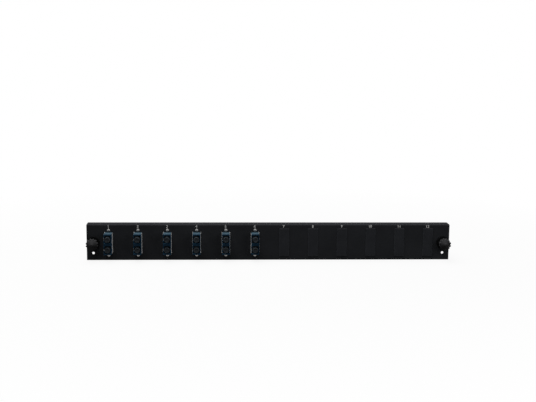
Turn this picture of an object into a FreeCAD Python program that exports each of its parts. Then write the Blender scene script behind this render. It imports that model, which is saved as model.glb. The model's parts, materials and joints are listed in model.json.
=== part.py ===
import FreeCAD, Part
import os
import re

import Sketcher

# Removable front of a 19-inch, 1U fibre patch panel: a folded steel fascia with twelve positions in a row.
# The first six hold duplex adapters that stand on end, and the rest are closed by blanking plates.
# A push-pull plunger at each end fastens the front to its housing.
#
# Frame, in millimetres: X runs along the panel, Y points to the rear, Z points up. The origin is on the rear
# face of the sheet, at mid-width and mid-height, which is the middle of the line between the two plungers.

SIZES = {
    # Folded front
    "panel_width": 440.0,
    "panel_height": 43.6,
    "sheet_thickness": 1.2,
    "flange_depth": 15.5,
    "bend_radius": 0.2,
    # Row of positions, and the plungers at its ends
    "row_inset": 8.8,
    "fastener_inset": 7.9,
    "port_count": 12,
    "adapter_count": 6,
    "cutout_gap": 0.35,
    # Adapter housing
    "body_height": 25.0,
    "body_width": 9.3,
    "body_corner": 0.5,
    "front_reach": 13.5,
    "rear_reach": 11.0,
    "ear_end": 2.1,
    "ear_thickness": 2.0,
    "ear_corner": 1.2,
    # Side clips of the adapter
    "clip_thickness": 0.3,
    "clip_gap": 0.05,
    "clip_inset": 0.7,
    "clip_setback": 6.0,
    "clip_bite": 0.5,
    "clip_barb": 1.4,
    # Sockets, 9 mm high and 12.7 mm apart between these walls
    "socket_side_wall": 0.95,
    "socket_end_wall": 1.65,
    "socket_middle_wall": 3.7,
    "socket_lead": 0.5,
    "key_width": 3.0,
    "key_length": 9.0,
    # Latch insert
    "insert_lip": 0.4,
    "insert_plate": 1.4,
    "insert_gap": 0.05,
    "hub_side": 4.4,
    "hub_reach": 5.2,
    "arm_thickness": 0.8,
    "arm_width": 3.0,
    "arm_reach": 6.8,
    "arm_gap": 0.3,
    "arm_hook": 0.5,
    # Alignment sleeve
    "sleeve_diameter": 3.2,
    "sleeve_bore": 2.5,
    "sleeve_length": 10.0,
    "sleeve_slit": 0.5,
    "sleeve_gap": 0.03,
    # Adapter screw and nut
    "screw_offset": 2.6,
    "screw_diameter": 2.0,
    "screw_gap": 0.2,
    "screw_tail": 1.0,
    "head_diameter": 4.0,
    "head_height": 1.4,
    "head_edge": 0.5,
    "nut_across": 4.0,
    "nut_height": 1.6,
    "thread_gap": 0.05,
    # Dust cap
    "cap_recess": 3.5,
    "plug_length": 3.0,
    "plug_gap": 0.1,
    "grip_diameter": 6.2,
    "grip_reach": 3.5,
    "grip_bore": 4.4,
    "grip_depth": 0.8,
    # Blanking plate
    "blank_end_lap": 4.35,
    "blank_side_lap": 1.1,
    "blank_thickness": 1.0,
    "blank_chamfer": 0.3,
    "hook_width": 5.0,
    "hook_thickness": 1.2,
    "hook_bite": 0.6,
    "hook_length": 1.6,
    "hook_gap": 0.1,
    "rib_length": 14.0,
    "rib_thickness": 1.0,
    # Holes under the plungers
    "hole_diameter": 3.2,
    "hole_drop": 12.9,
    # Plunger grommet
    "shank_diameter": 6.4,
    "shank_gap": 0.1,
    "shank_reach": 7.5,
    "shank_nose": 0.6,
    "collar_diameter": 15.4,
    "collar_thickness": 2.0,
    "collar_edge": 0.6,
    "barb_bite": 0.5,
    "barb_length": 1.4,
    "leg_slot": 0.9,
    # Plunger
    "stem_diameter": 3.4,
    "stem_gap": 0.1,
    "neck_diameter": 9.0,
    "neck_length": 8.8,
    "knob_diameter": 14.4,
    "knob_length": 4.0,
    "crown_height": 4.0,
    "crown_flat": 2.4,
    "flute_count": 12,
    "flute_radius": 1.2,
    "flute_depth": 1.1,
    "pull_travel": 6.5,
    "tip_diameter": 4.6,
    "tip_length": 1.0,
    "tip_point": 1.4,
}

# Planes and centres that several pieces share, as formulas in the sizes above.
CUTOUT_HEIGHT = "(body_height + 2 * cutout_gap)"
CUTOUT_WIDTH = "(body_width + 2 * clip_thickness + 2 * clip_gap)"
ADAPTER_FRONT = "(sheet_thickness + front_reach)"
ADAPTER_REAR = "(ear_thickness + rear_reach)"
COLLAR_FRONT = "(sheet_thickness + collar_thickness)"
FASTENER_X = "(panel_width / 2 - fastener_inset)"
PORT_PITCH = "((panel_width - 2 * row_inset) / port_count)"
SCREW_Z = "(body_height / 2 + screw_offset)"
SOCKET_WIDTH = "(body_width - 2 * socket_side_wall)"
SOCKET_HEIGHT = "(body_height / 2 - socket_end_wall - socket_middle_wall / 2)"
SOCKET_Z = f"({SOCKET_HEIGHT} / 2 + socket_middle_wall / 2)"

doc = FreeCAD.newDocument("fibre_patch_panel")
sheet = doc.addObject("Spreadsheet::Sheet", "Sizes")
for row, (alias, number) in enumerate(SIZES.items(), start=1):
    sheet.set(f"A{row}", alias)
    sheet.set(f"B{row}", str(number))
    sheet.setAlias(f"B{row}", alias)
doc.recompute()

bodies = []


def formula(text):
    """The text with each size's name written as a reference to the sheet."""
    return re.sub(r"[a-z_]+", lambda word: f"Sizes.{word[0]}" if word[0] in SIZES else word[0], text)


def value(text):
    """The number that a formula comes to now."""
    return float(sheet.evalExpression(formula(text)))


def port_x(port):
    """Middle of a position along the panel, counted from 1 at the left."""
    return f"{PORT_PITCH} * ({port} - (port_count + 1) / 2)"


def new_body(label, x="0", y="0", z="0"):
    """An empty body at a place given by three formulas."""
    body = doc.addObject("PartDesign::Body", label)
    body.Label = label
    for axis, place in zip("xyz", (x, y, z)):
        body.setExpression(f"Placement.Base.{axis}", formula(place))
    bodies.append(body)
    return body


def origin_feature(body, role):
    return next(feature for feature in body.Origin.OriginFeatures if feature.Role == role)


def new_sketch(body, name, plane, right="0", up="0", out="0"):
    """A sketch on one of the body's own planes, shifted in the plane and along its normal.

    On XZ_Plane the sketch's axes are X and Z, and its normal points to the front.
    On YZ_Plane they are Y and Z, and its normal points along X.
    On XY_Plane they are X and Y, and its normal points up.
    """
    sketch = body.newObject("Sketcher::SketchObject", f"{body.Name}_{name}")
    sketch.AttachmentSupport = (origin_feature(body, plane), "")
    sketch.MapMode = "FlatFace"
    for axis, shift in zip("xyz", (right, up, out)):
        sketch.setExpression(f"AttachmentOffset.Base.{axis}", formula(shift))
    return sketch


def pin_point(sketch, curve, end, place):
    """Ties one point of a curve to a pair of formulas, measured from the sketch's origin."""
    for kind, axis_line, text in (("DistanceX", -2, place[0]), ("DistanceY", -1, place[1])):
        number = value(text)
        if number == 0:
            sketch.addConstraint(Sketcher.Constraint("PointOnObject", curve, end, axis_line))
            continue
        index = sketch.addConstraint(Sketcher.Constraint(kind, -1, 1, curve, end, number))
        sketch.setExpression(f"Constraints[{index}]", formula(text))


def add_outline(sketch, corners):
    """A closed polygon whose corners are pairs of formulas."""
    places = [FreeCAD.Vector(value(x), value(y), 0) for x, y in corners]
    lines = [
        sketch.addGeometry(Part.LineSegment(start, end))
        for start, end in zip(places, places[1:] + places[:1])
    ]
    for line, following in zip(lines, lines[1:] + lines[:1]):
        sketch.addConstraint(Sketcher.Constraint("Coincident", line, 2, following, 1))
    for line, corner in zip(lines, corners):
        pin_point(sketch, line, 1, corner)


def add_rectangle(sketch, width, height, middle=("0", "0")):
    left, right = (f"{middle[0]} {sign} ({width}) / 2" for sign in "-+")
    bottom, top = (f"{middle[1]} {sign} ({height}) / 2" for sign in "-+")
    add_outline(sketch, [(left, bottom), (right, bottom), (right, top), (left, top)])


def add_circle(sketch, diameter, middle=("0", "0")):
    centre = FreeCAD.Vector(value(middle[0]), value(middle[1]), 0)
    circle = sketch.addGeometry(Part.Circle(centre, FreeCAD.Vector(0, 0, 1), value(diameter) / 2))
    index = sketch.addConstraint(Sketcher.Constraint("Diameter", circle, value(diameter)))
    sketch.setExpression(f"Constraints[{index}]", formula(diameter))
    pin_point(sketch, circle, 3, middle)


def extrude(body, sketch, length, kind="Pad", reverse=False, both_ways=False):
    """A pad or pocket of a sketch; a pad runs along the sketch's normal and a pocket against it."""
    feature = body.newObject(f"PartDesign::{kind}", f"{sketch.Name}_{kind.lower()}")
    feature.Profile = sketch
    feature.Reversed = reverse
    if both_ways:
        feature.SideType = "Symmetric"
    feature.setExpression("Length", formula(length))
    sketch.Visibility = False
    before = body.Shape.Volume if kind == "Pocket" else None
    doc.recompute()
    if before is not None and not body.Shape.Volume < before:
        raise RuntimeError(f"{feature.Name} cut nothing")
    return feature


def revolve(body, sketch):
    """A full turn of a sketch about its own horizontal axis."""
    feature = body.newObject("PartDesign::Revolution", f"{sketch.Name}_turn")
    feature.Profile = sketch
    feature.ReferenceAxis = (sketch, ["H_Axis"])
    feature.Angle = 360
    doc.recompute()
    return feature


def edges_where(shape, test):
    return [f"Edge{number}" for number, edge in enumerate(shape.Edges, start=1) if test(edge)]


def dress(body, kind, size, test):
    """A fillet or chamfer of the given size on the edges of the body that pass a test."""
    base = body.Tip
    feature = body.newObject(f"PartDesign::{kind}", f"{body.Name}_{kind.lower()}")
    feature.Base = (base, edges_where(base.Shape, test))
    feature.setExpression("Radius" if kind == "Fillet" else "Size", formula(size))
    doc.recompute()
    return feature


def runs_along(edge, axis):
    """Whether an edge is straight and parallel to X, Y or Z."""
    if not isinstance(edge.Curve, Part.Line):
        return False
    return abs(abs(getattr(edge.Curve.Direction, axis)) - 1) < 1e-6


def near(number, text):
    return abs(number - value(text)) < 1e-4


def mirror_whole(body, plane):
    """Repeats the body's whole shape on the other side of one of its own planes."""
    feature = body.newObject("PartDesign::Mirrored", f"{body.Name}_pair")
    feature.TransformMode = "Whole shape"
    feature.MirrorPlane = (origin_feature(body, plane), [""])
    body.Tip = feature
    doc.recompute()


def repeat_along_row(body, count, originals=None):
    """Repeats the body, or only some of its features, at the pitch of the positions."""
    feature = body.newObject("PartDesign::LinearPattern", f"{body.Name}_row")
    if originals:
        feature.Originals = originals
    else:
        feature.TransformMode = "Whole shape"
    feature.Direction = (origin_feature(body, "X_Axis"), [""])
    feature.Mode = "Spacing"
    feature.setExpression("Offset", formula(PORT_PITCH))
    feature.setExpression("Occurrences", formula(count))
    body.Tip = feature
    doc.recompute()


def repeat_round_y(body, original, count, angle):
    """Repeats a feature about the body's Y axis, spread over an angle in degrees."""
    feature = body.newObject("PartDesign::PolarPattern", f"{body.Name}_round")
    feature.Originals = [original]
    feature.Axis = (origin_feature(body, "Y_Axis"), [""])
    feature.setExpression("Angle", angle)
    feature.setExpression("Occurrences", formula(count))
    body.Tip = feature
    doc.recompute()


def make_front_panel():
    """Folded sheet: a flat front with a flange turned back along its top and bottom."""
    body = new_body("front_panel")
    section = new_sketch(body, "section", "YZ_Plane")
    front, rear = "-sheet_thickness", "flange_depth - sheet_thickness"
    outside, inside = "panel_height / 2", "(panel_height / 2 - sheet_thickness)"
    add_outline(section, [
        (front, f"-{outside}"), (rear, f"-{outside}"), (rear, f"-{inside}"), ("0", f"-{inside}"),
        ("0", inside), (rear, inside), (rear, outside), (front, outside),
    ])
    extrude(body, section, "panel_width", both_ways=True)
    dress(
        body, "Fillet", "bend_radius",
        lambda edge: runs_along(edge, "x") and near(edge.CenterOfMass.y, "0"),
    )
    dress(
        body, "Fillet", "bend_radius + sheet_thickness",
        lambda edge: runs_along(edge, "x") and near(edge.CenterOfMass.y, "-sheet_thickness")
        and near(abs(edge.CenterOfMass.z), "panel_height / 2"),
    )
    ends = new_sketch(body, "ends", "XZ_Plane")
    for side in "-+":
        middle = f"0 {side} {FASTENER_X}"
        add_circle(ends, "shank_diameter + 2 * shank_gap", (middle, "0"))
        add_circle(ends, "hole_diameter", (middle, "-hole_drop"))
    extrude(body, ends, "4 * sheet_thickness", "Pocket", both_ways=True)
    port = new_sketch(body, "port", "XZ_Plane", right=port_x(1))
    add_rectangle(port, CUTOUT_WIDTH, CUTOUT_HEIGHT)
    for side in "-+":
        add_circle(port, "screw_diameter + 2 * screw_gap", ("0", f"0 {side} {SCREW_Z}"))
    cut = extrude(body, port, "4 * sheet_thickness", "Pocket", both_ways=True)
    repeat_along_row(body, "port_count", [cut])


def add_sockets(body, mouth, length, key_reverse):
    """Two stepped sockets through a housing half, each with a lead-in at its mouth and an open key slot."""
    sockets = new_sketch(body, "sockets", "XZ_Plane")
    for side in "-+":
        add_rectangle(sockets, SOCKET_WIDTH, SOCKET_HEIGHT, ("0", f"0 {side} {SOCKET_Z}"))
    extrude(body, sockets, f"2 * {length}", "Pocket", both_ways=True)
    dress(
        body, "Chamfer", "socket_lead",
        lambda edge: near(edge.CenterOfMass.y, mouth)
        and edge.BoundBox.XMax < value("body_width / 2") - 1e-3
        and edge.BoundBox.XMin > value("-body_width / 2") + 1e-3
        and abs(edge.CenterOfMass.z) < value(f"{SOCKET_Z} + {SOCKET_HEIGHT} / 2") + 1e-3,
    )
    keys = new_sketch(body, "keys", "XZ_Plane", out=f"-({mouth})")
    for side in "-+":
        add_rectangle(keys, "body_width", "key_width", ("-body_width / 2", f"0 {side} {SOCKET_Z}"))
    extrude(body, keys, "key_length", "Pocket", reverse=key_reverse)


def make_adapter_front(port):
    """Front half of an adapter: it passes through the sheet and is welded to the flanged half behind it."""
    body = new_body(f"adapter_front_{port}", x=port_x(port))
    block = new_sketch(body, "block", "XZ_Plane")
    add_rectangle(block, "body_width", "body_height")
    extrude(body, block, ADAPTER_FRONT)
    dress(body, "Fillet", "body_corner", lambda edge: runs_along(edge, "y"))
    add_sockets(body, f"-{ADAPTER_FRONT}", ADAPTER_FRONT, key_reverse=False)
    seats = new_sketch(body, "seats", "XZ_Plane")
    for side in "-+":
        add_rectangle(
            seats, f"{SOCKET_WIDTH} + 2 * insert_lip", f"{SOCKET_HEIGHT} + 2 * insert_lip",
            ("0", f"0 {side} {SOCKET_Z}"),
        )
    extrude(body, seats, "2 * insert_plate", "Pocket", both_ways=True)


def make_adapter_rear(port):
    """Rear half of an adapter: a flange that lies on the back of the sheet, and the rear sockets."""
    body = new_body(f"adapter_rear_{port}", x=port_x(port))
    ears = new_sketch(body, "ears", "XZ_Plane")
    add_rectangle(ears, "body_width", f"2 * ({SCREW_Z} + ear_end)")
    for side in "-+":
        add_circle(ears, "screw_diameter + 2 * screw_gap", ("0", f"0 {side} {SCREW_Z}"))
    extrude(body, ears, "ear_thickness", reverse=True)
    dress(body, "Fillet", "ear_corner", lambda edge: runs_along(edge, "y"))
    block = new_sketch(body, "block", "XZ_Plane")
    add_rectangle(block, "body_width", "body_height")
    extrude(body, block, ADAPTER_REAR, reverse=True)
    add_sockets(body, ADAPTER_REAR, ADAPTER_REAR, key_reverse=True)


def make_adapter_clips():
    """Spring-steel clips along both sides of each adapter, barbed behind the sheet."""
    body = new_body("adapter_clips", x=port_x(1))
    section = new_sketch(body, "section", "XY_Plane")
    inner, end = "body_width / 2", "clip_gap + clip_barb"
    outer = f"({inner} + clip_thickness)"
    front = f"clip_setback - {ADAPTER_FRONT}"
    add_outline(section, [
        (inner, front), (outer, front), (outer, "clip_gap"), (f"{outer} + clip_bite", "clip_gap"),
        (outer, end), (inner, end),
    ])
    extrude(body, section, "body_height - 2 * clip_inset", both_ways=True)
    mirror_whole(body, "YZ_Plane")
    repeat_along_row(body, "adapter_count")


def make_latch_inserts():
    """Latch inserts: a plate held between the housing halves, with a sleeve hub and hooked arms."""
    body = new_body("latch_inserts", x=port_x(1))
    plate = new_sketch(body, "plate", "XZ_Plane", up=SOCKET_Z)
    rim = "2 * insert_lip - 2 * insert_gap"
    add_rectangle(plate, f"{SOCKET_WIDTH} + {rim}", f"{SOCKET_HEIGHT} + {rim}")
    extrude(body, plate, "insert_plate")
    hub = new_sketch(body, "hub", "XZ_Plane", up=SOCKET_Z, out="insert_plate / 2")
    add_rectangle(hub, "hub_side", "hub_side")
    extrude(body, hub, "2 * hub_reach", both_ways=True)
    arms = new_sketch(body, "arms", "YZ_Plane", right="-insert_plate / 2", up=SOCKET_Z)
    outer = f"({SOCKET_HEIGHT} / 2 - arm_gap)"
    inner = f"({outer} - arm_thickness)"
    catch = f"({inner} - arm_hook)"
    barb = "(arm_reach - 2 * arm_hook)"
    for side in "-+":
        add_outline(arms, [
            (along, f"0 {side} {height}") for along, height in (
                ("-arm_reach", outer), ("arm_reach", outer), ("arm_reach", inner), (barb, catch),
                (barb, inner), (f"-{barb}", inner), (f"-{barb}", catch), ("-arm_reach", inner),
            )
        ])
    extrude(body, arms, "arm_width", both_ways=True)
    bore = new_sketch(body, "bore", "XZ_Plane", up=SOCKET_Z)
    add_circle(bore, "sleeve_diameter + 2 * sleeve_gap")
    extrude(body, bore, "4 * hub_reach", "Pocket", both_ways=True)
    mirror_whole(body, "XY_Plane")
    repeat_along_row(body, "adapter_count")


def make_alignment_sleeves():
    """Split ceramic sleeves that line up the two plugs of each socket."""
    body = new_body("alignment_sleeves", x=port_x(1))
    ring = new_sketch(body, "ring", "XZ_Plane", up=SOCKET_Z, out="insert_plate / 2")
    add_circle(ring, "sleeve_diameter")
    add_circle(ring, "sleeve_bore")
    extrude(body, ring, "sleeve_length", both_ways=True)
    slit = new_sketch(body, "slit", "XZ_Plane", up=SOCKET_Z, out="insert_plate / 2")
    add_rectangle(slit, "sleeve_slit", "sleeve_diameter", ("0", "sleeve_diameter / 2"))
    extrude(body, slit, "2 * sleeve_length", "Pocket", both_ways=True)
    mirror_whole(body, "XY_Plane")
    repeat_along_row(body, "adapter_count")


def make_adapter_screws():
    """Screws that go in from the front, above and below each adapter."""
    body = new_body("adapter_screws", x=port_x(1))
    profile = new_sketch(body, "profile", "YZ_Plane", up=SCREW_Z)
    top = "(-sheet_thickness - head_height)"
    tail = "(ear_thickness + nut_height + screw_tail)"
    add_outline(profile, [
        (top, "0"), (top, "head_diameter / 2 - head_edge"), (f"{top} + head_edge", "head_diameter / 2"),
        ("-sheet_thickness", "head_diameter / 2"), ("-sheet_thickness", "screw_diameter / 2"),
        (tail, "screw_diameter / 2"), (tail, "0"),
    ])
    revolve(body, profile)
    mirror_whole(body, "XY_Plane")
    repeat_along_row(body, "adapter_count")


def make_adapter_nuts():
    """Hexagon nuts behind the adapters' flanges."""
    body = new_body("adapter_nuts", x=port_x(1))
    hexagon = new_sketch(body, "hexagon", "XZ_Plane", up=SCREW_Z, out="-ear_thickness")
    half, side, corner = "nut_across / 2", "nut_across / 2 / sqrt(3)", "nut_across / sqrt(3)"
    add_outline(hexagon, [
        (half, f"-{side}"), (half, side), ("0", corner),
        (f"-{half}", side), (f"-{half}", f"-{side}"), ("0", f"-{corner}"),
    ])
    add_circle(hexagon, "screw_diameter + 2 * thread_gap")
    extrude(body, hexagon, "nut_height", reverse=True)
    mirror_whole(body, "XY_Plane")
    repeat_along_row(body, "adapter_count")


def make_dust_cap(label, port, y, z, turned):
    """Dust cap: a plug that fits a socket tightly, with a hollow round grip that stands out of it."""
    body = new_body(label, x=port_x(port), y=y, z=z)
    if turned:
        body.Placement.Rotation = FreeCAD.Rotation(FreeCAD.Vector(0, 0, 1), 180)
    plug = new_sketch(body, "plug", "XZ_Plane", out="-cap_recess")
    add_rectangle(plug, f"{SOCKET_WIDTH} - 2 * plug_gap", SOCKET_HEIGHT)
    extrude(body, plug, "plug_length", reverse=True)
    grip = new_sketch(body, "grip", "XZ_Plane", out="-cap_recess")
    add_circle(grip, "grip_diameter")
    extrude(body, grip, "cap_recess + grip_reach")
    hollow = new_sketch(body, "hollow", "XZ_Plane", out="grip_reach")
    add_circle(hollow, "grip_bore")
    extrude(body, hollow, "grip_depth", "Pocket")


def make_blanking_plate(port):
    """Blanking plate: a chamfered cover on the front, held by two snap hooks behind the sheet."""
    body = new_body(f"blanking_plate_{port}", x=port_x(port))
    cover = new_sketch(body, "cover", "XZ_Plane", out="sheet_thickness")
    add_rectangle(cover, f"{CUTOUT_WIDTH} + 2 * blank_side_lap", f"{CUTOUT_HEIGHT} + 2 * blank_end_lap")
    extrude(body, cover, "blank_thickness")
    dress(
        body, "Chamfer", "blank_chamfer",
        lambda edge: near(edge.CenterOfMass.y, "-sheet_thickness - blank_thickness"),
    )
    hooks = new_sketch(body, "hooks", "YZ_Plane")
    wall = f"({CUTOUT_HEIGHT} / 2 - hook_gap)"
    end = "(hook_gap + hook_length)"
    for side in "-+":
        add_outline(hooks, [
            (along, f"0 {side} {height}") for along, height in (
                ("-sheet_thickness", f"({wall} - hook_thickness)"), ("-sheet_thickness", wall),
                ("hook_gap", wall), ("hook_gap", f"({wall} + hook_bite)"),
                (end, f"({wall} - hook_thickness / 2)"), (end, f"({wall} - hook_thickness)"),
            )
        ])
    extrude(body, hooks, "hook_width", both_ways=True)
    ribs = new_sketch(body, "ribs", "XZ_Plane", out="sheet_thickness")
    for side in "-+":
        middle = f"0 {side} ({CUTOUT_WIDTH} / 2 - hook_gap - rib_thickness / 2)"
        add_rectangle(ribs, "rib_thickness", "rib_length", (middle, "0"))
    extrude(body, ribs, "sheet_thickness + hook_length", reverse=True)


def make_grommet(label, x):
    """Plunger grommet: a collar on the front and a barbed shank behind, split into four legs."""
    body = new_body(label, x=x)
    profile = new_sketch(body, "profile", "YZ_Plane")
    bore, shank, collar = "(stem_diameter / 2 + stem_gap)", "shank_diameter / 2", "collar_diameter / 2"
    add_outline(profile, [
        (f"-{COLLAR_FRONT}", bore), (f"-{COLLAR_FRONT}", f"{collar} - collar_edge"),
        (f"collar_edge - {COLLAR_FRONT}", collar), ("-sheet_thickness", collar), ("-sheet_thickness", shank),
        ("shank_gap", shank), ("shank_gap", f"{shank} + barb_bite"), ("shank_gap + barb_length", shank),
        ("shank_reach - shank_nose", shank), ("shank_reach", f"{shank} - shank_nose"), ("shank_reach", bore),
    ])
    revolve(body, profile)
    slot = new_sketch(body, "slot", "XZ_Plane", out="-shank_reach")
    add_rectangle(slot, "leg_slot", "shank_diameter + 4 * barb_bite")
    cut = extrude(body, slot, "shank_reach", "Pocket", reverse=True)
    repeat_round_y(body, cut, "2", "90")


def make_plunger(label, x):
    """Plunger: a fluted knob on a stem that runs through the grommet to a wider tip."""
    body = new_body(label, x=x)
    profile = new_sketch(body, "profile", "YZ_Plane")
    back = f"({COLLAR_FRONT} + neck_length)"
    rim = f"({back} + knob_length)"
    front = f"({rim} + crown_height)"
    knob, neck, stem, tip = (f"{part}_diameter / 2" for part in ("knob", "neck", "stem", "tip"))
    stop = "(shank_reach + pull_travel)"
    add_outline(profile, [
        (f"-{front}", "0"), (f"-{front}", "crown_flat / 2"), (f"-{rim}", knob), (f"-{back}", knob),
        (f"-{back}", neck), (f"-{COLLAR_FRONT}", neck), (f"-{COLLAR_FRONT}", stem),
        (stop, stem), (stop, tip), (f"{stop} + tip_length", tip),
        (f"{stop} + tip_length + tip_point", f"{tip} - tip_point"), (f"{stop} + tip_length + tip_point", "0"),
    ])
    revolve(body, profile)
    flute = new_sketch(body, "flute", "XZ_Plane", out=front)
    add_circle(flute, "2 * flute_radius", ("0", f"{knob} + flute_radius - flute_depth"))
    cut = extrude(body, flute, "knob_length + crown_height", "Pocket")
    repeat_round_y(body, cut, "flute_count", "360")


def build():
    make_front_panel()
    for port in range(1, SIZES["adapter_count"] + 1):
        make_adapter_front(port)
        make_adapter_rear(port)
        for name, z in (("upper", SOCKET_Z), ("lower", f"-{SOCKET_Z}")):
            make_dust_cap(f"front_cap_{port}_{name}", port, f"-{ADAPTER_FRONT}", z, turned=False)
            make_dust_cap(f"rear_cap_{port}_{name}", port, ADAPTER_REAR, z, turned=True)
    make_adapter_clips()
    make_latch_inserts()
    make_alignment_sleeves()
    make_adapter_screws()
    make_adapter_nuts()
    for port in range(SIZES["adapter_count"] + 1, SIZES["port_count"] + 1):
        make_blanking_plate(port)
    for side, x in (("left", f"-{FASTENER_X}"), ("right", FASTENER_X)):
        make_grommet(f"grommet_{side}", x)
        make_plunger(f"plunger_{side}", x)


def check():
    """Stops if any object failed or any piece is not a valid solid."""
    doc.recompute()
    for item in doc.Objects:
        if {"Invalid", "Error"} & set(item.State):
            raise RuntimeError(f"{item.Label} failed: {item.State}")
    for body in bodies:
        if body.Shape.isNull() or not body.Shape.isValid() or not body.Shape.Solids:
            raise RuntimeError(f"{body.Label} is not a valid solid")


def export():
    os.makedirs("parts", exist_ok=True)
    for body in bodies:
        body.Shape.exportStep(f"parts/{body.Label}.step")


build()
check()
export()
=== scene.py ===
"""Finished pieces, stage and camera for a fibre patch panel's front, built round its CAD part."""

import json
import math

import bmesh
import bpy
from bpy.props import FloatProperty, FloatVectorProperty, PointerProperty
from mathutils import Matrix, Quaternion, Vector

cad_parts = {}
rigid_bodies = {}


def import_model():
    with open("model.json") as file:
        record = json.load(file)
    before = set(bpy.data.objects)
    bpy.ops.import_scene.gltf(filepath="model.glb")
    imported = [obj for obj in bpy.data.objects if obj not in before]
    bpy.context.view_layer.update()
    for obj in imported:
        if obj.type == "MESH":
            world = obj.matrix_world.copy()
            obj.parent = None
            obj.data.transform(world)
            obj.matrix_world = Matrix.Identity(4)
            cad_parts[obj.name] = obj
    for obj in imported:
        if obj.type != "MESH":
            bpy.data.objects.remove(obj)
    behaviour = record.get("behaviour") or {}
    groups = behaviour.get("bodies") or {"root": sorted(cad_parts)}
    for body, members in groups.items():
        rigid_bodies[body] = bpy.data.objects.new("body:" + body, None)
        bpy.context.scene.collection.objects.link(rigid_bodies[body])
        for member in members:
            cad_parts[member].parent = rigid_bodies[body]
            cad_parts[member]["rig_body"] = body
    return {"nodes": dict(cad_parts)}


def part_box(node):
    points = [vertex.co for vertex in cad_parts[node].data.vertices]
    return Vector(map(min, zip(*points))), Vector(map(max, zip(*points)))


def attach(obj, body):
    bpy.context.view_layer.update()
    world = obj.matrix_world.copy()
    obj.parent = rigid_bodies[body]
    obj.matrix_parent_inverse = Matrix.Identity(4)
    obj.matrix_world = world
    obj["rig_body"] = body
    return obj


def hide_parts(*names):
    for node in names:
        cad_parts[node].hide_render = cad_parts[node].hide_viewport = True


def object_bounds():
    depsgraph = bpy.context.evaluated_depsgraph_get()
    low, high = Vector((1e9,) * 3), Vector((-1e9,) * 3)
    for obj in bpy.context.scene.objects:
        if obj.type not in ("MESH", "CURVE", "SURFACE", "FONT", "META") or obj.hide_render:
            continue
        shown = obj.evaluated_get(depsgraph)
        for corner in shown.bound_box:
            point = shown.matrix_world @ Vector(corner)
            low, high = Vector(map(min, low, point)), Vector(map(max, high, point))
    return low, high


bl_info = {
    "name": "Fibre patch panel",
    "version": (1, 0, 0),
    "blender": (4, 5, 0),
    "location": "3D View > Sidebar > Patch panel",
    "description": "Builds the finished pieces of a fibre patch panel's front, and its stage",
    "category": "Object",
}

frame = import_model()
CAD_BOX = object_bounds()

PANEL_BODY = "panel"
PICTURE_WIDTH = 536
EDGE_MARK = "worn_edge"
WHITE = (1, 1, 1, 1)

# Corners of the CAD mesh closer than this are one corner, and faces flatter than this are one face.
CORNER_GAP = 1e-6
FLAT_ANGLE = math.radians(0.5)
# Edges that turn more than the first angle are rounded, and shading breaks at edges past the second.
EDGE_ANGLE = math.radians(30)
CREASE_ANGLE = math.radians(50)
# Straight steps across a rounded edge, in a digit's curve, round a screw and round the floor.
EDGE_STEPS = 3
DIGIT_STEPS = 4
SCREW_STEPS = 48
FLOOR_STEPS = 96
# Stands a shape up that was drawn lying flat, so that its upper side looks to the front.
STAND_UP = Matrix.Rotation(math.radians(90), 3, "X")


def numbered(stem):
    """The numbers of the CAD nodes that are named with this stem, in order."""
    return sorted(int(name.removeprefix(stem)) for name in frame["nodes"] if name.startswith(stem))


ADAPTER_PORTS = numbered("adapter_front_")
BLANK_PORTS = numbered("blanking_plate_")
FRONT_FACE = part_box("front_panel")[0].y
ADAPTER_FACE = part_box(f"adapter_front_{ADAPTER_PORTS[0]}")[0].y
SCREW_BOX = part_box("adapter_screws")
NUT_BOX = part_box("adapter_nuts")


def port_middle(port):
    """Middle of a numbered position along the panel."""
    node = f"adapter_front_{port}" if port in ADAPTER_PORTS else f"blanking_plate_{port}"
    low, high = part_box(node)
    return (low.x + high.x) / 2


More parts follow.
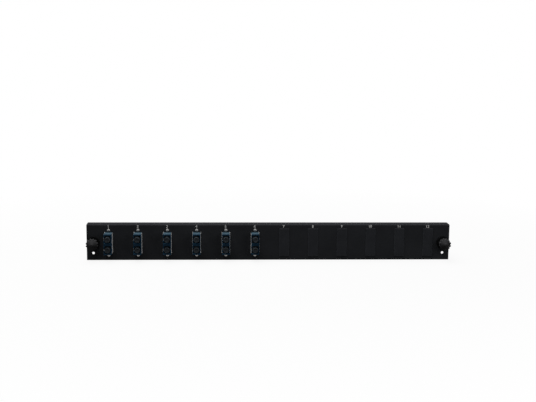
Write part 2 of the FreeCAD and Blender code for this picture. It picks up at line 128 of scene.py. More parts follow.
class PATCHPANEL_PG_sizes(bpy.types.PropertyGroup):
    """Sizes of what is finished here."""

    sheet_edge: FloatProperty(
        name="Sheet edge", description="Rounding that the paint leaves on the sheet's cut edges",
        default=0.0002, min=0, unit="LENGTH", precision=5,
    )
    moulded_edge: FloatProperty(
        name="Moulded edge", description="Rounding of the adapters', caps', plates' and nuts' edges",
        default=0.00022, min=0, unit="LENGTH", precision=5,
    )
    clip_edge: FloatProperty(
        name="Clip edge", description="Rounding that tumbling leaves on the spring clips' edges",
        default=0.00005, min=0, unit="LENGTH", precision=6,
    )
    knob_edge: FloatProperty(
        name="Knob edge", description="Rounding of the plungers' and grommets' moulded edges",
        default=0.00025, min=0, unit="LENGTH", precision=5,
    )
    number_height: FloatProperty(
        name="Number height", description="Height of the printed port numbers",
        default=0.0033, min=0.001, unit="LENGTH", precision=5,
    )
    number_rise: FloatProperty(
        name="Number rise", description="Middle of the port numbers above the panel's mid-height",
        default=0.0198, unit="LENGTH", precision=5,
    )
    number_shift: FloatProperty(
        name="Number shift", description="How far the printing lies to the right of the positions",
        default=-0.0004, unit="LENGTH", precision=5,
    )
    number_weight: FloatProperty(
        name="Number weight",
        description="What the ink adds to each side of a stroke, as a share of the font's size",
        default=0.026, min=0, max=0.05,
    )
    ink_thickness: FloatProperty(
        name="Ink thickness", description="How far the printed ink stands on the paint",
        default=0.00003, min=0, unit="LENGTH", precision=6,
    )
    head_diameter: FloatProperty(
        name="Screw head", description="Diameter of the adapter screws' heads",
        default=0.004, min=0.002, unit="LENGTH", precision=5,
    )
    head_height: FloatProperty(
        name="Screw head height", description="How far the screw heads stand on the sheet",
        default=0.0014, min=0.0005, unit="LENGTH", precision=5,
    )
    shank_diameter: FloatProperty(
        name="Screw shank", description="Outer diameter of the screws' threads",
        default=0.002, min=0.001, unit="LENGTH", precision=5,
    )
    thread_pitch: FloatProperty(
        name="Thread pitch", description="Distance between the crests of the screws' threads",
        default=0.0004, min=0.0002, unit="LENGTH", precision=5,
    )
    thread_depth: FloatProperty(
        name="Thread depth", description="Depth of the screws' threads",
        default=0.0002, min=0.00005, unit="LENGTH", precision=5,
    )
    recess_span: FloatProperty(
        name="Recess span",
        description="Width of the cross recess's cutter at its wide end, as far above the head as it cuts",
        default=0.0024, min=0.001, unit="LENGTH", precision=5,
    )
    recess_depth: FloatProperty(
        name="Recess depth", description="How far the cross recess is cut into a screw head",
        default=0.0009, min=0.0002, unit="LENGTH", precision=5,
    )


def colour(name, description, default):
    """A colour property in linear values."""
    return FloatVectorProperty(
        name=name, description=description, default=default,
        subtype="COLOR", size=3, min=0, max=1, precision=4,
    )


class PATCHPANEL_PG_colours(bpy.types.PropertyGroup):
    """Colours of the finishes."""

    paint: colour("Paint", "Black powder coat of the folded front", (0.031, 0.0325, 0.0362))
    adapter: colour("Adapter", "Blue plastic of the adapter housings", (0.008, 0.033, 0.064))
    # Painted light: the paler blue below is laid on adapter faces that look up, standing in for light from
    # above.
    faded: colour("Adapter, faded", "Paler blue of the adapter faces that look up", (0.12, 0.203, 0.258))
    cap: colour("Cap", "Dark soft plastic of the dust caps", (0.046, 0.053, 0.06))
    blank: colour("Blanking plate", "Black plastic of the blanking plates", (0.0335, 0.0354, 0.0402))
    fastener: colour("Plunger", "Black plastic of the plungers", (0.01, 0.01, 0.0104))
    # Painted light: this grey lightens the plungers' faces that look up, as dust and as light from above.
    knob_dust: colour("Knob dust", "Grey dust that has settled on the plungers", (0.16, 0.16, 0.166))
    grommet: colour("Grommet", "Black soft plastic of the plungers' grommets", (0.009, 0.009, 0.0095))
    steel: colour("Screw", "Plated steel of the screws and nuts", (0.24, 0.24, 0.237))
    spring: colour("Clip", "Satin spring steel of the adapters' side clips", (0.7, 0.7, 0.69))
    insert: colour("Insert", "Pale plastic of the latch inserts", (0.55, 0.55, 0.5))
    ceramic: colour("Sleeve", "White ceramic of the alignment sleeves", (0.8, 0.79, 0.75))
    ink: colour("Ink", "White ink of the port numbers", (0.82, 0.82, 0.8))


class PATCHPANEL_PG_stage(bpy.types.PropertyGroup):
    """Camera, lamps and floor."""

    camera_place: FloatVectorProperty(
        name="Camera", description="Where the camera stands",
        default=(-0.06, -1.1483, 0.2432), subtype="XYZ", unit="LENGTH", precision=4,
    )
    camera_target: FloatVectorProperty(
        name="Camera target", description="The point at the middle of the picture",
        default=(-0.00224, -0.0012, 0.05092), subtype="XYZ", unit="LENGTH", precision=4,
    )
    camera_roll: FloatProperty(
        name="Camera roll", description="Turn of the camera about its own axis",
        default=math.radians(0.54), subtype="ANGLE",
    )
    focal_pixels: FloatProperty(
        name="Focal length", description="Focal length in pixels of the picture",
        default=967.0, min=100,
    )
    key_power: FloatProperty(
        name="Key lamp", description="Power of the large lamp overhead",
        default=11.5, min=0, unit="POWER",
    )
    key_place: FloatVectorProperty(
        name="Key lamp place", description="Where the large lamp hangs",
        default=(-0.25, 0.0, 1.1), subtype="XYZ", unit="LENGTH", precision=3,
    )
    key_size: FloatVectorProperty(
        name="Key lamp size", description="Length and depth of the large lamp",
        default=(1.6, 0.8), size=2, min=0.01, unit="LENGTH", precision=3,
    )
    side_power: FloatProperty(
        name="Side lamp", description="Power of the small lamp in front on the right",
        default=0.7, min=0, unit="POWER",
    )
    side_place: FloatVectorProperty(
        name="Side lamp place", description="Where the small lamp stands",
        default=(0.45, -0.6, 0.25), subtype="XYZ", unit="LENGTH", precision=3,
    )
    side_size: FloatVectorProperty(
        name="Side lamp size", description="Width and height of the small lamp",
        default=(0.4, 0.4), size=2, min=0.01, unit="LENGTH", precision=3,
    )
    room_light: FloatProperty(
        name="Room light", description="Level of the light that comes from all round",
        default=0.12, min=0,
    )
    floor_colour: colour("Floor", "What the floor gives back of the light", (0.1, 0.1, 0.1))
    floor_shadow: FloatProperty(
        name="Floor shadow",
        description="Share of the floor's look that the lamps give, so that shadows show",
        default=0.1, min=0, max=1,
    )
    shadow_reach: FloatProperty(
        name="Shadow reach", description="Distance at which the floor has faded to plain white",
        default=0.6, min=0.1, unit="LENGTH",
    )
    floor_size: FloatProperty(
        name="Floor size", description="Radius of the floor",
        default=4.0, min=1, unit="LENGTH",
    )


class Wire:
    """A shader value that Python expressions work on. Each operator adds one Math node."""

    def __init__(self, graph, socket):
        self.graph = graph
        self.socket = socket

    def math(self, operation, first, second):
        """The value of one Math node."""
        return self.graph.node("ShaderNodeMath", {"operation": operation}, {0: first, 1: second})

    def __add__(self, other):
        return self.math("ADD", self, other)

    def __radd__(self, other):
        return self.math("ADD", other, self)

    def __sub__(self, other):
        return self.math("SUBTRACT", self, other)

    def __rsub__(self, other):
        return self.math("SUBTRACT", other, self)

    def __mul__(self, other):
        return self.math("MULTIPLY", self, other)

    def __rmul__(self, other):
        return self.math("MULTIPLY", other, self)


# A Mix node's sockets for colours share their names with others, so they are given by number.
MIX_FACTOR = 0
MIX_FIRST_COLOUR = 6
MIX_SECOND_COLOUR = 7
MIX_COLOUR = 2
# Levels of a soft noise that become 0 and 1 in clouds.
CLOUD_LOW = 0.3
CLOUD_HIGH = 0.7
# A speck is solid out to this share of its radius.
SPECK_CORE = 0.6


class Graph:
    """A node tree that is written as calls and expressions."""

    def __init__(self, tree):
        self.tree = tree
        self.tree.nodes.clear()

    def node(self, kind, settings=None, sockets=None, output=0):
        """Adds one node: its settings are set first, then its sockets are linked or given values."""
        made = self.tree.nodes.new(kind)
        for name, setting in (settings or {}).items():
            if name == "stops":
                for stop, (position, level) in zip(made.color_ramp.elements, setting):
                    stop.position = position
                    stop.color = (level, level, level, 1)
            else:
                setattr(made, name, setting)
        for name, given in (sockets or {}).items():
            if isinstance(given, Wire):
                self.tree.links.new(given.socket, made.inputs[name])
            else:
                made.inputs[name].default_value = given
        return Wire(self, made.outputs[output]) if made.outputs else None

    def places(self):
        """The surface's own coordinates, in metres."""
        return self.node("ShaderNodeTexCoord", output="Object")

    def grain(self, width, detail=2.0, places=None):
        """Soft noise from 0 to 1 with features of about this width in metres."""
        return self.node(
            "ShaderNodeTexNoise", {"noise_dimensions": "3D"},
            {"Vector": places or self.places(), "Scale": 1 / width, "Detail": detail},
        )

    def band(self, level, low, high):
        """A level stretched so that low becomes 0 and high becomes 1."""
        return self.node("ShaderNodeValToRGB", {"stops": ((low, 0.0), (high, 1.0))}, {"Fac": level})

    def fade(self, level, low, high):
        """0 where a level is no more than low, 1 where it is no less than high."""
        return self.node(
            "ShaderNodeMapRange", None, {"Value": level, "From Min": low, "From Max": high},
        )

    def clouds(self, width, detail=3.0):
        """Soft patches from 0 to 1, about this wide in metres."""
        return self.band(self.grain(width, detail), CLOUD_LOW, CLOUD_HIGH)

    def specks(self, spacing, share):
        """Specks, 1 inside and 0 outside, spaced in metres, with radii that are a share of the spacing."""
        cells = self.node(
            "ShaderNodeTexVoronoi", {"feature": "F1"},
            {"Vector": self.places(), "Scale": 1 / spacing, "Randomness": 1.0},
        )
        return 1 - self.band(cells, share * SPECK_CORE, share)

    def rearward(self):
        """How far behind the frame's origin a place lies, in metres."""
        return self.node("ShaderNodeSeparateXYZ", None, {"Vector": self.places()}, output="Y")

    def upward(self):
        """How far a face looks up, from -1 to 1."""
        normal = self.node("ShaderNodeNewGeometry", output="Normal")
        return self.node("ShaderNodeSeparateXYZ", None, {"Vector": normal}, output="Z")

    def worn_edges(self):
        """1 on the rounded edges of a piece and 0 elsewhere."""
        return self.node("ShaderNodeAttribute", {"attribute_name": EDGE_MARK}, output="Fac")

    def mix(self, factor, first, second):
        """A colour between two colours."""
        return self.node(
            "ShaderNodeMix", {"data_type": "RGBA"},
            {MIX_FACTOR: factor, MIX_FIRST_COLOUR: first, MIX_SECOND_COLOUR: second},
            output=MIX_COLOUR,
        )

    def blend(self, factor, first, second):
        """A shader between two shaders."""
        return self.node("ShaderNodeMixShader", None, {0: factor, 1: first, 2: second})

    def bump(self, height, strength, distance):
        """A normal that follows a height from 0 to 1, which stands for a distance in metres."""
        return self.node(
            "ShaderNodeBump", None, {"Strength": strength, "Distance": distance, "Height": height},
        )

    def surface(self, sockets):
        """The material's own shader."""
        shader = self.node("ShaderNodeBsdfPrincipled", None, sockets)
        self.node("ShaderNodeOutputMaterial", None, {"Surface": shader})


def shade(tint, level):
    """A colour made lighter or darker, as four numbers for a shader socket."""
    return (*(min(1.0, part * level) for part in tint), 1.0)


def get_material(name, write):
    """The material of this name, written once by the given function."""
    found = bpy.data.materials.get(name)
    if found:
        return found
    material = bpy.data.materials.new(name)
    material.use_nodes = True
    write(Graph(material.node_tree), bpy.context.scene.patch_panel_colours)
    return material


def write_powder_coat(graph, colours):
    """Fine black powder coat: a faint peel, slow drift in its sheen, sparse dust, rubbed edges."""
    peel = graph.grain(0.0009)
    pores = graph.grain(0.00025, 1.0)
    drift = graph.band(graph.grain(0.035, 3.0), 0.35, 0.65)
    dust = graph.specks(0.006, 0.035)
    edges = graph.worn_edges()
    worn = 0.1 * edges + 0.3 * dust + 0.18 * drift
    graph.surface({
        "Base Color": graph.mix(worn, shade(colours.paint, 0.92), shade(colours.paint, 2.2)),
        "Roughness": 0.56 + 0.1 * drift - 0.14 * edges + 0.05 * pores,
        "Normal": graph.bump(0.7 * peel + 0.3 * pores, 0.35, 0.00006),
        "Specular IOR Level": 0.004,
    })


# Behind the adapters' faces the painted top light stays weak, so the blue stays dark, as far as the first
# depth, and grows to full at the second.
TOP_LIGHT_START_DEPTH = 0.0012
TOP_LIGHT_FULL_DEPTH = 0.0062


def write_adapter_plastic(graph, colours):
    """Blue moulded plastic: an eroded skin, flow marks, polished edges that are lighter as wear and as a
    painted highlight, and painted light from above that makes faces looking up a paler blue.
    """
    skin = graph.grain(0.00018)
    flow = graph.clouds(0.006)
    edges = graph.worn_edges()
    behind = graph.fade(
        graph.rearward(), ADAPTER_FACE + TOP_LIGHT_START_DEPTH, ADAPTER_FACE + TOP_LIGHT_FULL_DEPTH,
    )
    # Painted light from above: faces that look up are mixed towards the paler blue, weakly near the
    # adapters' front faces.
    upper = graph.band(graph.upward(), 0.6, 0.95)
    faded = upper * (0.55 + 0.15 * flow) * (0.2 + 0.8 * behind)
    # Painted highlight: the edges are lighter, partly as wear and partly where they would catch the light.
    plastic = graph.mix(
        0.2 * flow + 0.6 * edges, shade(colours.adapter, 0.65), shade(colours.adapter, 2.2),
    )
    graph.surface({
        "Base Color": graph.mix(faded, plastic, shade(colours.faded, 1.0)),
        "Roughness": 0.36 + 0.08 * flow + 0.06 * skin - 0.08 * edges,
        "Normal": graph.bump(skin, 0.25, 0.00003),
        "Specular IOR Level": 0.06,
    })


def write_dusty_plastic(
    graph, tint, *, darkest, lightest, roughness, gloss, skin_width, skin_depth, flow_width,
    speck_spacing, speck_share, flow_weight, edge_weight, speck_weight,
):
    """Matt moulded plastic that is lighter in its flow marks, on its edges and in specks of dust."""
    skin = graph.grain(skin_width)
    flow = graph.clouds(flow_width)
    dust = graph.specks(speck_spacing, speck_share)
    edges = graph.worn_edges()
    lighter = flow_weight * flow + edge_weight * edges + speck_weight * dust
    graph.surface({
        "Base Color": graph.mix(lighter, shade(tint, darkest), shade(tint, lightest)),
        "Roughness": roughness + 0.1 * flow + 0.06 * skin - 0.1 * edges,
        "Normal": graph.bump(skin, 0.3, skin_depth),
        "Specular IOR Level": gloss,
    })


def write_cap_plastic(graph, colours):
    """Dark soft plastic of the dust caps: matt, with faint moulding marks and a little dust."""
    write_dusty_plastic(
        graph, colours.cap, darkest=0.85, lightest=1.7, roughness=0.55, gloss=0.03,
        skin_width=0.0002, skin_depth=0.00003, flow_width=0.004, speck_spacing=0.0022, speck_share=0.07,
        flow_weight=0.25, edge_weight=0.3, speck_weight=0.3,
    )


def write_blank_plastic(graph, colours):
    """Black plastic of the blanking plates: a fine matt texture with smoother edges, lighter as wear and
    as a painted highlight.
    """
    write_dusty_plastic(
        graph, colours.blank, darkest=0.9, lightest=1.9, roughness=0.42, gloss=0.02,
        skin_width=0.0003, skin_depth=0.00004, flow_width=0.012, speck_spacing=0.005, speck_share=0.035,
        # Painted highlight: the edge weight makes the edges lighter, partly as wear and partly where they
        # would catch the light.
        flow_weight=0.2, edge_weight=0.6, speck_weight=0.2,
    )


def write_grommet_plastic(graph, colours):
    """Black soft plastic of the grommets: dull, with a moulded skin and a little dust."""
    write_dusty_plastic(
        graph, colours.grommet, darkest=0.85, lightest=2.0, roughness=0.6, gloss=0.01,
        skin_width=0.00025, skin_depth=0.00003, flow_width=0.004, speck_spacing=0.003, speck_share=0.05,
        flow_weight=0.2, edge_weight=0.3, speck_weight=0.2,
    )


def write_fastener_plastic(graph, colours):
    """Black nylon of the plungers: half-matt, polished on the ribs' edges, with dust and painted light
    from above that make its upward faces grey.
    """
    skin = graph.grain(0.00022)
    flow = graph.clouds(0.005)
    edges = graph.worn_edges()
    # Dust and painted light from above: faces that look up, and a little beyond, are mixed towards the
    # lighter grey.
    settled_and_top_lit = graph.fade(graph.upward(), -0.3, 0.6) * (0.28 + 0.1 * flow)
    nylon = graph.mix(
        0.2 * flow + 0.5 * edges, shade(colours.fastener, 0.85), shade(colours.fastener, 1.8),
    )
    graph.surface({
        "Base Color": graph.mix(settled_and_top_lit, nylon, shade(colours.knob_dust, 1.0)),
        "Roughness": 0.4 + 0.08 * flow + 0.06 * skin - 0.12 * edges,
        "Normal": graph.bump(skin, 0.3, 0.00003),
        "Specular IOR Level": 0.03,
    })


def write_plated_steel(graph, colours):
    """Bright plated steel, with slight clouding and fine scratches."""
    cloud = graph.clouds(0.0012)
    scratches = graph.grain(0.0001, 4.0)
    graph.surface({
        "Base Color": graph.mix(cloud, shade(colours.steel, 0.8), shade(colours.steel, 1.15)),
        "Metallic": 1.0,
        "Roughness": 0.26 + 0.1 * cloud + 0.08 * scratches,
        "Normal": graph.bump(scratches, 0.1, 0.00002),
    })


def write_spring_steel(graph, colours):
    """Satin spring steel of the side clips: rolled lengthways, with faint tones and lighter edges."""
    rolled = graph.grain(0.0004, 3.0, graph.node(
        "ShaderNodeMapping", None, {"Vector": graph.places(), "Scale": (4.0, 4.0, 0.15)},
    ))
    tone = graph.clouds(0.005, 2.0)
    edges = graph.worn_edges()
    graph.surface({
        "Base Color": graph.mix(
            0.5 * tone + 0.5 * edges, shade(colours.spring, 0.9), shade(colours.spring, 1.15),
        ),
        "Metallic": 0.15,
        "Roughness": 0.5 + 0.08 * tone + 0.1 * rolled - 0.05 * edges,
        "Normal": graph.bump(rolled, 0.15, 0.00001),
        "Specular IOR Level": 0.1,
    })


def write_insert_plastic(graph, colours):
    """Pale plastic of the latch inserts, with a natural, slightly uneven tone."""
    skin = graph.grain(0.0002)
    flow = graph.clouds(0.003)
    graph.surface({
        "Base Color": graph.mix(flow, shade(colours.insert, 0.9), shade(colours.insert, 1.08)),
        "Roughness": 0.42 + 0.1 * flow,
        "Normal": graph.bump(skin, 0.2, 0.00003),
    })


def write_sleeve_ceramic(graph, colours):
    """White ceramic of the alignment sleeves: ground smooth, with faint cloudiness."""
    cloud = graph.clouds(0.0015)
    ground = graph.grain(0.00012)
    graph.surface({
        "Base Color": graph.mix(cloud, shade(colours.ceramic, 0.94), shade(colours.ceramic, 1.02)),
        "Roughness": 0.2 + 0.08 * cloud,
        "Normal": graph.bump(ground, 0.08, 0.00001),
    })


def write_number_ink(graph, colours):
    """White screen-printed ink, a little uneven where the paint's texture shows through."""
    cover = graph.band(graph.grain(0.0004, 3.0), 0.25, 0.6)
    peel = graph.grain(0.0009)
    graph.surface({
        "Base Color": graph.mix(cover, shade(colours.ink, 0.82), shade(colours.ink, 1.0)),
        "Roughness": 0.55 + 0.1 * cover,
        "Normal": graph.bump(peel, 0.3, 0.00005),
        "Specular IOR Level": 0.2,
    })


def make_mesh(name, work):
    """A mesh of a bmesh, which is used up."""
    mesh = bpy.data.meshes.new(name)
    work.to_mesh(mesh)
    work.free()
    return mesh


def make_object(name, data):
    """A new object in the scene."""
    made = bpy.data.objects.new(name, data)
    bpy.context.scene.collection.objects.link(made)
    return made


def add_mesh(work, mesh):
    """Adds a mesh to a bmesh, and gives back the corners that came with it."""
    known = set(work.verts)
    work.from_mesh(mesh)
    return [corner for corner in work.verts if corner not in known]


def place(work, name, body, material):
    """A finished object of a bmesh, with its shading, which moves with a body."""
    mesh = make_mesh(name, work)
    mesh.shade_smooth()
    mesh.set_sharp_from_angle(angle=CREASE_ANGLE)
    mesh.materials.append(material)
    piece = make_object(name, mesh)
    even = piece.modifiers.new("Even faces", "WEIGHTED_NORMAL")
    even.keep_sharp = True
    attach(piece, body)
    return piece


def soften(node, width, material):
    """Makes a copy of a CAD node with rounded edges, which replaces it and moves with its body."""
    source = frame["nodes"][node]
    work = bmesh.new()
    work.from_mesh(source.data)
    mark = work.faces.layers.float.new(EDGE_MARK)
    bmesh.ops.remove_doubles(work, verts=work.verts, dist=CORNER_GAP)
    bmesh.ops.dissolve_limit(work, angle_limit=FLAT_ANGLE, verts=work.verts, edges=work.edges)
    sharp = [
        edge for edge in work.edges if edge.is_manifold and edge.calc_face_angle() > EDGE_ANGLE
    ]
    rounded = bmesh.ops.bevel(
        work, geom=sharp, offset=width, offset_type="OFFSET", segments=EDGE_STEPS, profile=0.5,
        affect="EDGES", clamp_overlap=True, material=-1,
    )
    for face in rounded["faces"]:
        face[mark] = 1.0
    piece = place(work, f"{node}_finished", source["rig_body"], material)
    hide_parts(node)


def turn(outline, steps):
    """A solid turned about Y from pairs of radius and place along Y, which start and end on the axis."""
    work = bmesh.new()
    corners = [work.verts.new((radius, along, 0)) for radius, along in outline]
    lines = [work.edges.new(pair) for pair in zip(corners, corners[1:])]
    bmesh.ops.spin(
        work, geom=[*corners, *lines], cent=(0, 0, 0), axis=(0, 1, 0), angle=math.tau, steps=steps,
        use_merge=True,
    )
    bmesh.ops.remove_doubles(work, verts=work.verts, dist=CORNER_GAP)
    bmesh.ops.recalc_face_normals(work, faces=work.faces)
    return work


def cut(work, tool):
    """The first bmesh with the second cut out of it, as a new bmesh. Both are used up."""
    pieces = [make_object("cut_shape", make_mesh("cut_shape", shape)) for shape in (work, tool)]
    blank, cutter = pieces
    difference = blank.modifiers.new("Cut", "BOOLEAN")
    difference.operation = "DIFFERENCE"
    difference.solver = "EXACT"
    difference.object = cutter
    result = bmesh.new()
    result.from_object(blank, bpy.context.evaluated_depsgraph_get())
    for piece in pieces:
        mesh = piece.data
        bpy.data.objects.remove(piece)
        bpy.data.meshes.remove(mesh)
    return result


# The floor starts to fade to white at this share of the shadow's reach.
SHADOW_CORE = 0.3


class PATCHPANEL_OT_stage(bpy.types.Operator):
    """Sets up the camera, the lamps, the white surroundings and the floor"""

    bl_idname = "patch_panel.stage"
    bl_label = "Stage"

    def execute(self, context):
        stage = context.scene.patch_panel_stage
        context.scene.view_settings.view_transform = "Standard"
        self.add_camera(context, stage)
        self.add_lamp("key_lamp", stage.key_power, stage.key_place, stage.key_size)
        self.add_lamp("side_lamp", stage.side_power, stage.side_place, stage.side_size)
        self.light_world(context, stage)
        self.add_floor(stage)
        return {"FINISHED"}

    def add_camera(self, context, stage):
        """Stands the camera where the photograph was taken from."""
        lens = bpy.data.cameras.new("camera")
        lens.sensor_fit = "HORIZONTAL"
        lens.lens = stage.focal_pixels * lens.sensor_width / PICTURE_WIDTH
        camera = make_object("camera", lens)
        line = Vector(stage.camera_target) - Vector(stage.camera_place)
        roll = Quaternion((0, 0, 1), stage.camera_roll)
        camera.location = stage.camera_place
        camera.rotation_mode = "QUATERNION"
        camera.rotation_quaternion = line.to_track_quat("-Z", "Y") @ roll
        context.scene.camera = camera

    def add_lamp(self, name, power, spot, size):
        """Hangs a flat lamp that looks at the frame's origin."""
        lamp = bpy.data.lights.new(name, "AREA")
        lamp.shape = "RECTANGLE"
        lamp.size, lamp.size_y = size
        lamp.energy = power
        stand = make_object(name, lamp)
        stand.location = spot
        stand.rotation_mode = "QUATERNION"
        stand.rotation_quaternion = (-stand.location).to_track_quat("-Z", "Y")

    def white_share(self, graph):
        """1 for rays that show the surroundings, directly or mirrored, and 0 for the light they give."""
        kinds = ("Camera", "Glossy", "Transmission")
        seen, mirrored, through = (
            graph.node("ShaderNodeLightPath", output=f"Is {kind} Ray") for kind in kinds
        )
        return graph.node("ShaderNodeClamp", None, {"Value": seen + mirrored + through})

    def light_world(self, context, stage):
        """Surrounds the object with white that gives only a little light."""
        world = bpy.data.worlds.new("white_room")
        world.use_nodes = True
        graph = Graph(world.node_tree)
        white = self.white_share(graph)
        strength = stage.room_light + (1 - stage.room_light) * white
        light = graph.node("ShaderNodeBackground", None, {"Color": WHITE, "Strength": strength})
        graph.node("ShaderNodeOutputWorld", None, {"Surface": light})
        context.scene.world = world

    def floor_material(self, stage):
        """White to look at, with the object's shadow near the middle, but a pale source of light."""
        material = bpy.data.materials.new("pale_floor")
        material.use_nodes = True
        graph = Graph(material.node_tree)
        white = self.white_share(graph)
        pale = graph.node("ShaderNodeBsdfDiffuse", None, {"Color": (*stage.floor_colour, 1)})
        lit = graph.node("ShaderNodeBsdfDiffuse", None, {"Color": WHITE})
        glow = graph.node("ShaderNodeEmission", None, {"Color": WHITE, "Strength": 1.0})
        distance = graph.node(
            "ShaderNodeVectorMath", {"operation": "LENGTH"}, {0: graph.places()}, output="Value",
        )
        nearness = 1 - graph.band(distance * (1 / stage.shadow_reach), SHADOW_CORE, 1.0)
        shown = graph.blend(stage.floor_shadow * nearness, glow, lit)
        graph.node("ShaderNodeOutputMaterial", None, {"Surface": graph.blend(white, pale, shown)})
        return material

    def add_floor(self, stage):
        """Lays a round floor under the object."""
        work = bmesh.new()
        bmesh.ops.create_circle(work, cap_ends=True, segments=FLOOR_STEPS, radius=stage.floor_size)
        bmesh.ops.translate(work, verts=work.verts, vec=(0, 0, CAD_BOX[0].z))
        floor = make_object("floor", make_mesh("floor", work))
        floor.data.materials.append(self.floor_material(stage))


class PATCHPANEL_OT_front(bpy.types.Operator):
    """Gives the folded front its powder coat and rounded edges"""

    bl_idname = "patch_panel.front"
    bl_label = "Folded front"

    def execute(self, context):
        sizes = context.scene.patch_panel_sizes
        paint = get_material("powder_coat", write_powder_coat)
        soften("front_panel", sizes.sheet_edge, paint)
        return {"FINISHED"}


class PATCHPANEL_OT_numbers(bpy.types.Operator):
    """Prints the port numbers above the positions"""

    bl_idname = "patch_panel.numbers"
    bl_label = "Port numbers"

    def execute(self, context):
        sizes = context.scene.patch_panel_sizes
        work = bmesh.new()
        for port in [*ADAPTER_PORTS, *BLANK_PORTS]:
            mesh = self.number_mesh(context, str(port), sizes)
            fresh = add_mesh(work, mesh)
            bpy.data.meshes.remove(mesh)
            across = port_middle(port) + sizes.number_shift
            bmesh.ops.translate(work, verts=fresh, vec=(across, FRONT_FACE, sizes.number_rise))
        place(work, "port_numbers", PANEL_BODY, get_material("number_ink", write_number_ink))
        return {"FINISHED"}

    def number_mesh(self, context, digits, sizes):
        """A number of the right height that stands upright, with its back against the origin's plane."""
        text = bpy.data.curves.new("digits", "FONT")
        text.body = digits
        text.align_x = "CENTER"
        text.align_y = "CENTER"
        text.offset = sizes.number_weight
        text.resolution_u = DIGIT_STEPS
        writing = make_object("digits", text)
        evaluated = writing.evaluated_get(context.evaluated_depsgraph_get())
        mesh = bpy.data.meshes.new_from_object(evaluated)
        bpy.data.objects.remove(writing)
        bpy.data.curves.remove(text)
        across = [corner.co.x for corner in mesh.vertices]
        heights = [corner.co.y for corner in mesh.vertices]
        middle = Vector(((min(across) + max(across)) / 2, (min(heights) + max(heights)) / 2, 0))
        scale = sizes.number_height / (max(heights) - min(heights))
        shape = bmesh.new()
        shape.from_mesh(mesh)
        bmesh.ops.translate(shape, verts=shape.verts, vec=-middle)
        bmesh.ops.scale(shape, verts=shape.verts, vec=(scale, scale, 1))
        bmesh.ops.rotate(shape, verts=shape.verts, cent=(0, 0, 0), matrix=STAND_UP)
        sides = bmesh.ops.extrude_face_region(shape, geom=shape.faces[:])
        lifted = [item for item in sides["geom"] if isinstance(item, bmesh.types.BMVert)]
        bmesh.ops.translate(shape, verts=lifted, vec=(0, -sizes.ink_thickness, 0))
        bmesh.ops.recalc_face_normals(shape, faces=shape.faces)
        shape.to_mesh(mesh)
        shape.free()
        return mesh


class PATCHPANEL_OT_adapters(bpy.types.Operator):
    """Finishes the adapters' housings and side clips, and the latch inserts and sleeves inside"""

    bl_idname = "patch_panel.adapters"
    bl_label = "Adapters"

    def execute(self, context):
        sizes = context.scene.patch_panel_sizes
        plastic = get_material("adapter_plastic", write_adapter_plastic)
        for port in ADAPTER_PORTS:
            for half in ("front", "rear"):
                soften(f"adapter_{half}_{port}", sizes.moulded_edge, plastic)
        spring = get_material("spring_steel", write_spring_steel)
        soften("adapter_clips", sizes.clip_edge, spring)
        self.dress_node("latch_inserts", get_material("insert_plastic", write_insert_plastic))
        self.dress_node("alignment_sleeves", get_material("sleeve_ceramic", write_sleeve_ceramic))
        return {"FINISHED"}

    def dress_node(self, node, material):
        """Puts a material on a CAD node that keeps its own shape."""
        materials = frame["nodes"][node].data.materials
        materials.clear()
        materials.append(material)


class PATCHPANEL_OT_caps(bpy.types.Operator):
    """Finishes the dust caps in front of and behind the adapters"""

    bl_idname = "patch_panel.caps"
    bl_label = "Dust caps"

    def execute(self, context):
        sizes = context.scene.patch_panel_sizes
        plastic = get_material("cap_plastic", write_cap_plastic)
        for node in sorted(frame["nodes"]):
            if node.startswith(("front_cap_", "rear_cap_")):
                soften(node, sizes.moulded_edge, plastic)
        return {"FINISHED"}


# A screw head from the middle of its top to its rim, in shares of its radius and height.
HEAD_OUTLINE = ((0.0, 0.0), (0.5, 0.03), (0.78, 0.16), (0.94, 0.4), (1.0, 0.7), (1.0, 1.0))
# How wide the floor of the cross recess is, as a share of the cutter's wide end.
RECESS_FLOOR = 0.45
# The screws stop at different angles: degrees for each position, and for above or below.
TURN_BY_PORT = 67
TURN_BY_SIDE = 31


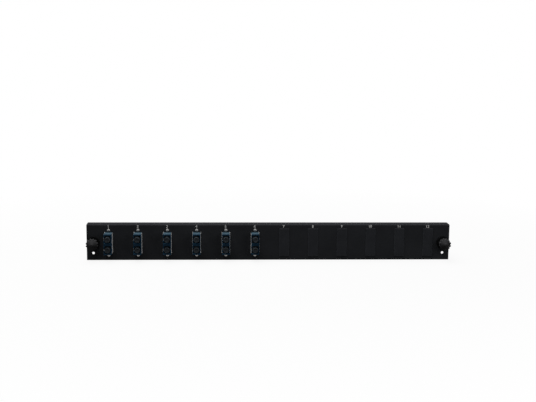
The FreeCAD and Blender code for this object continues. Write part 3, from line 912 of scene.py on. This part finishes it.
class PATCHPANEL_OT_screws(bpy.types.Operator):
    """Makes the adapters' cross-recessed screws with their threads, and finishes the nuts"""

    bl_idname = "patch_panel.screws"
    bl_label = "Screws and nuts"

    def execute(self, context):
        sizes = context.scene.patch_panel_sizes
        steel = get_material("plated_steel", write_plated_steel)
        pattern = make_mesh("screw_pattern", self.one_screw(sizes))
        work = bmesh.new()
        height = SCREW_BOX[1].z - sizes.head_diameter / 2
        for port in ADAPTER_PORTS:
            for side in (1, -1):
                fresh = add_mesh(work, pattern)
                angle = math.radians(TURN_BY_PORT * port + TURN_BY_SIDE * side)
                driven = Matrix.Rotation(angle, 3, "Y")
                spot = (port_middle(port), FRONT_FACE, side * height)
                bmesh.ops.rotate(work, verts=fresh, cent=(0, 0, 0), matrix=driven)
                bmesh.ops.translate(work, verts=fresh, vec=spot)
        bpy.data.meshes.remove(pattern)
        piece = place(work, "adapter_screws_finished", PANEL_BODY, steel)
        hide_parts("adapter_screws")
        soften("adapter_nuts", sizes.moulded_edge, steel)
        return {"FINISHED"}

    def one_screw(self, sizes):
        """A domed screw whose head sits on the origin's plane and whose thread runs along Y."""
        head = sizes.head_diameter / 2
        crest = sizes.shank_diameter / 2
        root = crest - sizes.thread_depth
        top = -sizes.head_height
        end = SCREW_BOX[1].y - FRONT_FACE
        start = NUT_BOX[0].y - FRONT_FACE
        dome = [(out * head, top + down * sizes.head_height) for out, down in HEAD_OUTLINE]
        crests = int((end - start) / sizes.thread_pitch)
        thread = [(crest, 0.0), (crest, start)]
        for number in range(crests):
            along = start + number * sizes.thread_pitch
            thread.append((root, along + 0.5 * sizes.thread_pitch))
            thread.append((crest, along + sizes.thread_pitch))
        thread += [(root, end), (0.0, end)]
        return cut(turn(dome + thread, SCREW_STEPS), self.cross_recess(sizes, top))

    def cross_recess(self, sizes, top):
        """The cutter of a cross recess: a plus that stands half out of the head and narrows downwards."""
        reach = sizes.recess_span / 2
        work = bmesh.new()
        bmesh.ops.create_grid(work, x_segments=3, y_segments=3, size=reach)
        corners = []
        for face in work.faces:
            middle = face.calc_center_median()
            if abs(middle.x) > reach / 2 and abs(middle.y) > reach / 2:
                corners.append(face)
        bmesh.ops.delete(work, geom=corners, context="FACES")
        floor = bmesh.ops.extrude_face_region(work, geom=work.faces[:])
        lowered = [item for item in floor["geom"] if isinstance(item, bmesh.types.BMVert)]
        bmesh.ops.scale(work, verts=lowered, vec=(RECESS_FLOOR, RECESS_FLOOR, 1))
        bmesh.ops.translate(work, verts=lowered, vec=(0, 0, -2 * sizes.recess_depth))
        bmesh.ops.rotate(work, verts=work.verts, cent=(0, 0, 0), matrix=STAND_UP)
        bmesh.ops.translate(work, verts=work.verts, vec=(0, top - sizes.recess_depth, 0))
        bmesh.ops.recalc_face_normals(work, faces=work.faces)
        return work


class PATCHPANEL_OT_blanks(bpy.types.Operator):
    """Finishes the blanking plates on the unused positions"""

    bl_idname = "patch_panel.blanks"
    bl_label = "Blanking plates"

    def execute(self, context):
        sizes = context.scene.patch_panel_sizes
        plastic = get_material("blank_plastic", write_blank_plastic)
        for port in BLANK_PORTS:
            soften(f"blanking_plate_{port}", sizes.moulded_edge, plastic)
        return {"FINISHED"}


class PATCHPANEL_OT_fasteners(bpy.types.Operator):
    """Finishes the plungers and their grommets at the two ends"""

    bl_idname = "patch_panel.fasteners"
    bl_label = "Plungers"

    def execute(self, context):
        sizes = context.scene.patch_panel_sizes
        hard = get_material("fastener_plastic", write_fastener_plastic)
        soft = get_material("grommet_plastic", write_grommet_plastic)
        for side in ("left", "right"):
            soften(f"plunger_{side}", sizes.knob_edge, hard)
            soften(f"grommet_{side}", sizes.knob_edge, soft)
        return {"FINISHED"}


class PATCHPANEL_PT_sidebar(bpy.types.Panel):
    """Lists the steps and the sizes and colours that they use"""

    bl_idname = "PATCHPANEL_PT_sidebar"
    bl_label = "Patch panel"
    bl_space_type = "VIEW_3D"
    bl_region_type = "UI"
    bl_category = "Patch panel"

    def draw(self, context):
        for operator in OPERATORS:
            self.layout.operator(operator.bl_idname)
        for settings in ("patch_panel_sizes", "patch_panel_colours", "patch_panel_stage"):
            group = getattr(context.scene, settings)
            for name in group.__annotations__:
                self.layout.prop(group, name)


OPERATORS = (
    PATCHPANEL_OT_stage,
    PATCHPANEL_OT_front,
    PATCHPANEL_OT_numbers,
    PATCHPANEL_OT_adapters,
    PATCHPANEL_OT_caps,
    PATCHPANEL_OT_screws,
    PATCHPANEL_OT_blanks,
    PATCHPANEL_OT_fasteners,
)
GROUPS = (PATCHPANEL_PG_sizes, PATCHPANEL_PG_colours, PATCHPANEL_PG_stage)


def register():
    """Makes the classes and their settings known."""
    for kind in (*GROUPS, *OPERATORS, PATCHPANEL_PT_sidebar):
        bpy.utils.register_class(kind)
    bpy.types.Scene.patch_panel_sizes = PointerProperty(type=PATCHPANEL_PG_sizes)
    bpy.types.Scene.patch_panel_colours = PointerProperty(type=PATCHPANEL_PG_colours)
    bpy.types.Scene.patch_panel_stage = PointerProperty(type=PATCHPANEL_PG_stage)


def unregister():
    """Takes the settings and classes away again."""
    del bpy.types.Scene.patch_panel_stage
    del bpy.types.Scene.patch_panel_colours
    del bpy.types.Scene.patch_panel_sizes
    for kind in reversed((*GROUPS, *OPERATORS, PATCHPANEL_PT_sidebar)):
        bpy.utils.unregister_class(kind)


def main():
    """Builds the scene in order."""
    register()
    bpy.ops.patch_panel.stage()
    bpy.ops.patch_panel.front()
    bpy.ops.patch_panel.numbers()
    bpy.ops.patch_panel.adapters()
    bpy.ops.patch_panel.caps()
    bpy.ops.patch_panel.screws()
    bpy.ops.patch_panel.blanks()
    bpy.ops.patch_panel.fasteners()


if __name__ == "__main__":
    main()
